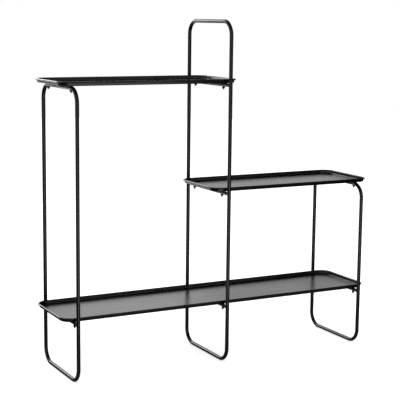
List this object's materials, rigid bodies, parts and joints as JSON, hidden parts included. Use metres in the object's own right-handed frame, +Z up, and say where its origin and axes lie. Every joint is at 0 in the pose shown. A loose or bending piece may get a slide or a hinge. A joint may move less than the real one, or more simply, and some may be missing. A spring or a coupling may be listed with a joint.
{
  "type": "metal shelving unit",
  "caption": "Free-standing black iron shelving unit with long rimmed trays at stepped heights, screwed to closed tube loops.",
  "frame": {"origin": "on the floor under the middle of the unit, in the plane of the centre loop", "axes": "+X along the unit towards the low right loop, +Y from the front to the back, +Z up"},
  "size_m": [1, 0.263, 0.988],
  "materials": {
    "loop_iron": "satin black paint on round iron tube",
    "tray_iron": "satin black paint on pressed sheet iron",
    "screw_steel": "blackened steel"
  },
  "bodies": {
    "root": {"loop_left_lower": "loop_iron", "loop_left_upper": "loop_iron", "loop_centre_lower": "loop_iron", "loop_centre_upper": "loop_iron", "loop_right_lower": "loop_iron", "loop_right_upper": "loop_iron", "crossbar_left_bottom": "loop_iron", "crossbar_centre_bottom": "loop_iron", "crossbar_right_bottom": "loop_iron", "crossbar_centre_middle": "loop_iron", "crossbar_centre_top": "loop_iron", "tray_bottom": "tray_iron", "tray_middle": "tray_iron", "tray_top": "tray_iron", "screw_left_bottom_front": "screw_steel", "nut_left_bottom_front": "screw_steel", "screw_left_bottom_back": "screw_steel", "nut_left_bottom_back": "screw_steel", "screw_centre_bottom_front": "screw_steel", "nut_centre_bottom_front": "screw_steel", "screw_centre_bottom_back": "screw_steel", "nut_centre_bottom_back": "screw_steel", "screw_right_bottom_front": "screw_steel", "nut_right_bottom_front": "screw_steel", "screw_right_bottom_back": "screw_steel", "nut_right_bottom_back": "screw_steel", "screw_centre_middle_front": "screw_steel", "nut_centre_middle_front": "screw_steel", "screw_centre_middle_back": "screw_steel", "nut_centre_middle_back": "screw_steel", "screw_centre_top_front": "screw_steel", "nut_centre_top_front": "screw_steel", "screw_centre_top_back": "screw_steel", "nut_centre_top_back": "screw_steel", "screw_left_top_front": "screw_steel", "nut_left_top_front": "screw_steel", "screw_left_top_back": "screw_steel", "nut_left_top_back": "screw_steel", "screw_right_middle_front": "screw_steel", "nut_right_middle_front": "screw_steel", "screw_right_middle_back": "screw_steel", "nut_right_middle_back": "screw_steel"}
  },
  "joints": []
}
